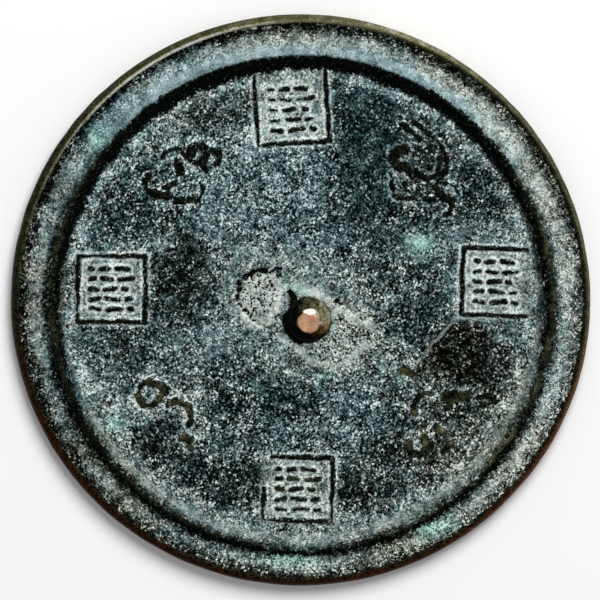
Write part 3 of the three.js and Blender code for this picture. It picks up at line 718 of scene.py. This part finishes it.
class Layer:
    """A value or colour that changes over the bronze: one node socket, whose sums and products with other
    layers or numbers are Math nodes."""

    def __init__(self, tree, socket=None):
        self.tree, self.socket = tree, socket

    def node(self, kind, settings=None, sockets=None, result=0):
        """A new node of that type: its settings first, then each socket's value or link."""
        made = self.tree.nodes.new(kind)
        for name, value in (settings or {}).items():
            if name == "stops":
                stops = made.color_ramp.elements
                while len(stops) < len(value):
                    stops.new(0.5)
                for stop, (place, colour) in zip(stops, value):
                    stop.position, stop.color = place, (*colour, 1)
            else:
                setattr(made, name, value)
        for name, value in (sockets or {}).items():
            if isinstance(value, Layer):
                self.tree.links.new(value.socket, made.inputs[name])
            else:
                made.inputs[name].default_value = value
        return Layer(self.tree, made.outputs[result])

    def math(self, operation, first, second=0.0, clamp=False):
        """A Math node that carries out that operation on two layers or numbers."""
        settings = {"operation": operation, "use_clamp": clamp}
        return self.node("ShaderNodeMath", settings, {0: first, 1: second})

    def __add__(self, other):
        return self.math("ADD", self, other)

    def __sub__(self, other):
        return self.math("SUBTRACT", self, other)

    def __rsub__(self, other):
        return self.math("SUBTRACT", other, self)

    def __mul__(self, other):
        return self.math("MULTIPLY", self, other)

    __radd__, __rmul__ = __add__, __mul__

    def held(self):
        """The same value, kept between 0 and 1."""
        return self.math("ADD", self, 0.0, clamp=True)

    def between(self, start, end):
        """0 at start and 1 at end, smooth between them and held beyond them."""
        return self.node("ShaderNodeMapRange", {"interpolation_type": "SMOOTHSTEP"},
                         {"Value": self, "From Min": start, "From Max": end})

    def mix(self, first, second):
        """first where this layer is 0, second where it is 1, as colours."""
        return self.node("ShaderNodeMix", {"data_type": "RGBA"}, {"Factor": self, 6: first, 7: second}, 2)

    def shades(self, *stops):
        """The colour at this layer's value on a ramp of places and screen colours, from 0 to 255."""
        linear = [(place, rgb(*shade)) for place, *shade in stops]
        return self.node("ShaderNodeValToRGB", {"stops": linear}, {"Fac": self})


def rgb(red, green, blue):
    """A colour given as 0 to 255 on a screen, in the linear light that shaders use."""
    shares = [value / 255 for value in (red, green, blue)]
    return tuple(((v + 0.055) / 1.055) ** 2.4 if v > 10 / 255 else v / 12.92 for v in shares)


bronze = bpy.data.materials.new("patinated_bronze")
bronze.use_nodes = True
tree = bronze.node_tree
shader = tree.nodes["Principled BSDF"]
plain = Layer(tree)
place = plain.node("ShaderNodeTexCoord", result=3)
tone, warmth, speckle, bare, rub, russet, copper, mint, pitting, polished = [
    plain.node("ShaderNodeAttribute", {"attribute_name": name}, result=2) for name in maps_of_skin]


def noise(size, detail=2.0, roughness=0.5, seed=0.0):
    """Even noise whose lumps are about that many millimetres across."""
    sockets = {"Vector": place, "W": seed, "Scale": 1 / (size * MM), "Detail": detail, "Roughness": roughness}
    return plain.node("ShaderNodeTexNoise", {"noise_dimensions": "4D"}, sockets)


def grains(size):
    """A random value for each of the grains of about that many millimetres that fill the surface."""
    return plain.node("ShaderNodeTexVoronoi", None, {"Vector": place, "Scale": 1 / (size * MM)}, 1)


# The deposit: grains and crumbs of 0.4 mm, clumps of 2 mm, and slower drifts from dark to pale
grain = noise(0.4, 1.0, 0.6)
crumbs = grains(0.4)
clumps = noise(2.0, 4.0, 0.7, 3.1)
drift = noise(4.5, 4.0, 0.6, 1.7)
mottle = noise(3.2, 2.0, 0.5, 5.3).between(0.38, 0.62)
sharp = grain.between(0.37, 0.63)
specks, pinholes = crumbs.between(0.7, 0.77), crumbs.between(0.3, 0.23)
clouds = clumps.between(0.36, 0.64)
coarse = speckle * (mottle * 0.5 + 0.75)
shade = tone * 1.02 - 0.07 + (sharp - 0.5) * coarse * 0.48 + (clouds - 0.5) * (speckle * 0.34 + 0.06)
shade = shade + (drift - 0.5) * 0.54 + specks * coarse * (0.58 - tone * 0.4) - pinholes * coarse * 0.34
pocks = noise(0.5, 1.0, 0.5, 9.1).between(0.47, 0.41)
shade = (shade - pocks * pitting * 0.8).held()

# Its colours from dark to pale: blue-grey, brown-grey and verdigris
cool = shade.shades((0, 0, 2, 2), (0.1, 3, 10, 10), (0.25, 20, 38, 40), (0.42, 59, 82, 84),
                    (0.6, 106, 129, 133), (0.8, 162, 183, 186), (1, 220, 236, 236))
warm = shade.shades((0, 1, 1, 0), (0.1, 9, 9, 5), (0.25, 35, 37, 30), (0.42, 76, 80, 71),
                    (0.6, 123, 127, 117), (0.8, 176, 181, 170), (1, 228, 234, 222))
verdigris = shade.shades((0, 6, 22, 20), (0.45, 70, 112, 106), (0.75, 150, 200, 186), (1, 204, 240, 228))
deposit = (warmth + (mottle - 0.5) * 0.3 - (crumbs - 0.5) * 0.4).held().mix(cool, warm)
deposit = (mint * (clumps * 1.45)).held().mix(deposit, verdigris)

# The exposed metal: near black where it hasn't worn, then olive, tan and grey, or red-brown. The wear
# map also carries painted light, so this ramp's pale end paints highlights and its black end paints shade.
worn = rub + (sharp - 0.5) * (0.3 - rub * 0.24) + (clumps - 0.5) * 0.5 * rub.between(0.0, 0.3)
worn = (worn + (crumbs - 0.5) * (0.22 - rub * 0.2)).held()
metal = worn.shades((0, 1, 2, 1), (0.2, 15, 18, 12), (0.42, 46, 49, 29), (0.68, 98, 95, 68),
                    (0.85, 158, 154, 136), (1, 212, 216, 216))
red_metal = worn.shades((0, 8, 2, 1), (0.3, 62, 30, 8), (0.6, 140, 84, 36), (1, 214, 168, 112))
metal = russet.mix(metal, red_metal)
# The exposed-metal map also lays painted shade here: the ridge's shaded band and the knob's painted shadow.
bared_and_shaded = (bare + (sharp - 0.5) * 0.5 - specks * 0.2).between(0.4, 0.56)
colour = bared_and_shaded.mix(deposit, metal)
copper_red = clumps.shades((0.3, 164, 112, 80), (0.5, 196, 150, 119), (0.75, 216, 180, 152))
colour = copper.mix(colour, copper_red)
tarnish = noise(14.0, 4.0, 0.6).shades((0.2, 46, 50, 44), (0.5, 92, 94, 80), (0.75, 128, 126, 104))
colour = polished.mix(colour, tarnish)

tree.links.new(colour.socket, shader.inputs["Base Color"])
bare_metal = bared_and_shaded * (0.12 + (rub + copper).between(0.8, 1.4) * 0.6) + (1 - bared_and_shaded) * (1 - shade) * 0.1
tree.links.new((polished * 0.9 + (1 - polished) * bare_metal).held().socket, shader.inputs["Metallic"])
roughness = bared_and_shaded * (0.5 - rub * 0.15) + (1 - bared_and_shaded) * (0.6 + shade * 0.25) - polished * 0.35
tree.links.new(roughness.held().socket, shader.inputs["Roughness"])
lumps = sharp * (1 - bared_and_shaded * 0.6) * 0.7 + clumps * 1.1 - pocks * pitting
GRAIN_DEPTH = 0.18 * MM
bump = plain.node("ShaderNodeBump", None, {"Strength": 0.5, "Distance": GRAIN_DEPTH, "Height": lumps})
tree.links.new(bump.socket, shader.inputs["Normal"])
shader.inputs["Specular IOR Level"].default_value = 0.02
mesh.materials.clear()
mesh.materials.append(bronze)

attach(mirror, "root")
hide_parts("bronze_mirror")

# ---------------------------------------------------------------------------------------------------
# Pale painted floor, dim even light all round, and one round softbox from the upper right.

FLOOR_REACH, FLOOR_WHITE, WORLD_LIGHT = 3, 0.95, 0.36

corners = [(FLOOR_REACH * x, FLOOR_REACH * y, 0) for x, y in ((-1, -1), (1, -1), (1, 1), (-1, 1))]
floor_mesh = bpy.data.meshes.new("floor")
floor_mesh.from_pydata(corners, [], [(0, 1, 2, 3)])
floor = bpy.data.objects.new("floor", floor_mesh)
bpy.context.scene.collection.objects.link(floor)
paint = bpy.data.materials.new("floor_paint")
paint.use_nodes = True
paint.node_tree.nodes["Principled BSDF"].inputs["Base Color"].default_value = (*[FLOOR_WHITE] * 3, 1)
floor_mesh.materials.append(paint)

world = bpy.data.worlds.new("studio")
world.use_nodes = True
world.node_tree.nodes["Background"].inputs["Color"].default_value = (1, 1, 1, 1)
world.node_tree.nodes["Background"].inputs["Strength"].default_value = WORLD_LIGHT
bpy.context.scene.world = world


def softbox(name, azimuth, elevation, distance, size, power):
    """A round area light that faces the origin, from that compass angle and height in degrees."""
    light = bpy.data.lights.new(name, "AREA")
    light.shape, light.size, light.energy = "DISK", size, power
    lamp = bpy.data.objects.new(name, light)
    a, e = math.radians(azimuth), math.radians(elevation)
    level = distance * math.cos(e)
    lamp.location = (level * math.sin(a), level * math.cos(a), distance * math.sin(e))
    lamp.rotation_euler = lamp.location.to_track_quat("Z", "Y").to_euler()
    bpy.context.scene.collection.objects.link(lamp)


softbox("key_light", azimuth=18, elevation=50, distance=1.6, size=0.9, power=24)
bpy.context.scene.view_settings.view_transform = "Standard"
